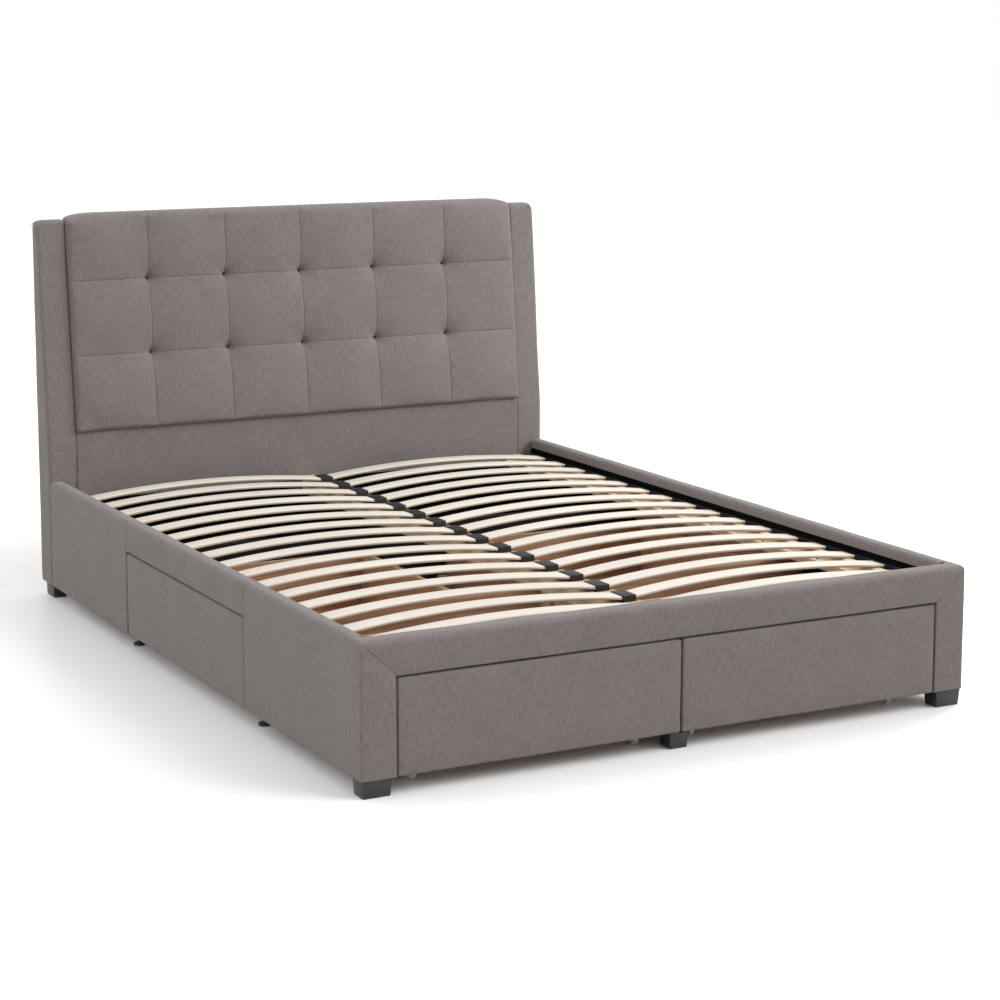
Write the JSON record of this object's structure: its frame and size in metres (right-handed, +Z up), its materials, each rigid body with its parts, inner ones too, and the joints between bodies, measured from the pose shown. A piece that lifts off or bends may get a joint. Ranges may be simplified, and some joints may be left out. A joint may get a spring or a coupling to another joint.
{
  "type": "platform bed",
  "caption": "Upholstered platform bed with a tufted headboard, a bowed slat base and castor drawers in its foot and sides.",
  "frame": {"origin": "on the floor, under the middle of the bed's length and width", "axes": "+Y from the foot to the headboard, +X to the right of someone who faces the headboard from the foot, +Z up"},
  "size_m": [1.6, 2.2, 1.1],
  "materials": {
    "upholstery": "plain close weave, warm grey",
    "black_cloth": "spun-bonded black cloth",
    "leg_lacquer": "black satin lacquer on beech",
    "frame_board": "raw board under the upholstery",
    "drawer_board": "brown wood-grain board with a satin face",
    "black_steel": "black powder coat",
    "pine": "planed pine, unvarnished",
    "birch_ply": "bent birch laminate, clear matt lacquer",
    "cap_plastic": "moulded charcoal polypropylene",
    "black_plastic": "moulded black plastic",
    "castor_plastic": "pale grey translucent plastic"
  },
  "bodies": {
    "root": {"headboard_core": "frame_board", "headboard_cover": "upholstery", "headboard_panel": "upholstery", "headboard_buttons": "upholstery", "headboard_back_cloth": "black_cloth", "headboard_legs": "leg_lacquer", "footboard_core": "frame_board", "footboard_cover": "upholstery", "footboard_legs": "leg_lacquer", "footboard_centre_leg": "leg_lacquer", "left_rail_core": "frame_board", "right_rail_core": "frame_board", "left_rail_cover": "upholstery", "right_rail_cover": "upholstery", "inner_linings": "black_cloth", "slat_angles": "black_steel", "slat_ledges": "pine", "ledge_screws": "black_steel", "levelling_feet": "black_plastic", "corner_brackets": "black_steel", "corner_bolts": "black_steel", "centre_beam": "pine", "beam_hangers": "black_steel", "centre_posts": "pine", "post_feet": "black_plastic", "foot_divider": "pine", "near_cross_divider": "pine", "far_cross_divider": "pine", "drawer_guides": "pine", "slats_left": "birch_ply", "slats_right": "birch_ply", "centre_caps": "cap_plastic"},
    "foot_left_drawer": {"foot_left_front": "frame_board", "foot_left_cover": "upholstery", "foot_left_walls": "drawer_board", "foot_left_base": "drawer_board", "foot_left_castors": "castor_plastic"},
    "foot_left_front_wheels_pair": {"foot_left_front_wheels": "castor_plastic"},
    "foot_left_rear_wheels_pair": {"foot_left_rear_wheels": "castor_plastic"},
    "foot_right_drawer": {"foot_right_front": "frame_board", "foot_right_cover": "upholstery", "foot_right_walls": "drawer_board", "foot_right_base": "drawer_board", "foot_right_castors": "castor_plastic"},
    "foot_right_front_wheels_pair": {"foot_right_front_wheels": "castor_plastic"},
    "foot_right_rear_wheels_pair": {"foot_right_rear_wheels": "castor_plastic"},
    "side_left_drawer": {"side_left_front": "frame_board", "side_left_cover": "upholstery", "side_left_walls": "drawer_board", "side_left_base": "drawer_board", "side_left_castors": "castor_plastic"},
    "side_left_front_wheels_pair": {"side_left_front_wheels": "castor_plastic"},
    "side_left_rear_wheels_pair": {"side_left_rear_wheels": "castor_plastic"},
    "side_right_drawer": {"side_right_front": "frame_board", "side_right_cover": "upholstery", "side_right_walls": "drawer_board", "side_right_base": "drawer_board", "side_right_castors": "castor_plastic"},
    "side_right_front_wheels_pair": {"side_right_front_wheels": "castor_plastic"},
    "side_right_rear_wheels_pair": {"side_right_rear_wheels": "castor_plastic"}
  },
  "joints": [
    {"name": "foot_left_slide", "type": "slide", "parent": "root", "child": "foot_left_drawer", "axis": [0, -1, 0], "range_m": [0, 0.48]},
    {"name": "foot_left_front_wheels_spin", "type": "hinge", "parent": "foot_left_drawer", "child": "foot_left_front_wheels_pair", "pos_m": [-0.357, -1.008, 0.0183], "axis": [1, 0, 0], "continuous": true},
    {"name": "foot_left_rear_wheels_spin", "type": "hinge", "parent": "foot_left_drawer", "child": "foot_left_rear_wheels_pair", "pos_m": [-0.357, -0.573, 0.0183], "axis": [1, 0, 0], "continuous": true},
    {"name": "foot_right_slide", "type": "slide", "parent": "root", "child": "foot_right_drawer", "axis": [0, -1, 0], "range_m": [0, 0.48]},
    {"name": "foot_right_front_wheels_spin", "type": "hinge", "parent": "foot_right_drawer", "child": "foot_right_front_wheels_pair", "pos_m": [0.357, -1.008, 0.0183], "axis": [1, 0, 0], "continuous": true},
    {"name": "foot_right_rear_wheels_spin", "type": "hinge", "parent": "foot_right_drawer", "child": "foot_right_rear_wheels_pair", "pos_m": [0.357, -0.573, 0.0183], "axis": [1, 0, 0], "continuous": true},
    {"name": "side_left_slide", "type": "slide", "parent": "root", "child": "side_left_drawer", "axis": [-1, 0, 0], "range_m": [0, 0.54]},
    {"name": "side_left_front_wheels_spin", "type": "hinge", "parent": "side_left_drawer", "child": "side_left_front_wheels_pair", "pos_m": [-0.708, -0.0425, 0.0183], "axis": [0, -1, 0], "continuous": true},
    {"name": "side_left_rear_wheels_spin", "type": "hinge", "parent": "side_left_drawer", "child": "side_left_rear_wheels_pair", "pos_m": [-0.178, -0.0425, 0.0183], "axis": [0, -1, 0], "continuous": true},
    {"name": "side_right_slide", "type": "slide", "parent": "root", "child": "side_right_drawer", "axis": [1, 0, 0], "range_m": [0, 0.54]},
    {"name": "side_right_front_wheels_spin", "type": "hinge", "parent": "side_right_drawer", "child": "side_right_front_wheels_pair", "pos_m": [0.708, -0.0425, 0.0183], "axis": [0, 1, 0], "continuous": true},
    {"name": "side_right_rear_wheels_spin", "type": "hinge", "parent": "side_right_drawer", "child": "side_right_rear_wheels_pair", "pos_m": [0.178, -0.0425, 0.0183], "axis": [0, 1, 0], "continuous": true}
  ],
  "couplings": [
    {"joint": "foot_left_front_wheels_spin", "follows": "foot_left_slide", "rad_per_m": 55.556},
    {"joint": "foot_left_rear_wheels_spin", "follows": "foot_left_slide", "rad_per_m": 55.556},
    {"joint": "foot_right_front_wheels_spin", "follows": "foot_right_slide", "rad_per_m": 55.556},
    {"joint": "foot_right_rear_wheels_spin", "follows": "foot_right_slide", "rad_per_m": 55.556},
    {"joint": "side_left_front_wheels_spin", "follows": "side_left_slide", "rad_per_m": 55.556},
    {"joint": "side_left_rear_wheels_spin", "follows": "side_left_slide", "rad_per_m": 55.556},
    {"joint": "side_right_front_wheels_spin", "follows": "side_right_slide", "rad_per_m": 55.556},
    {"joint": "side_right_rear_wheels_spin", "follows": "side_right_slide", "rad_per_m": 55.556}
  ]
}
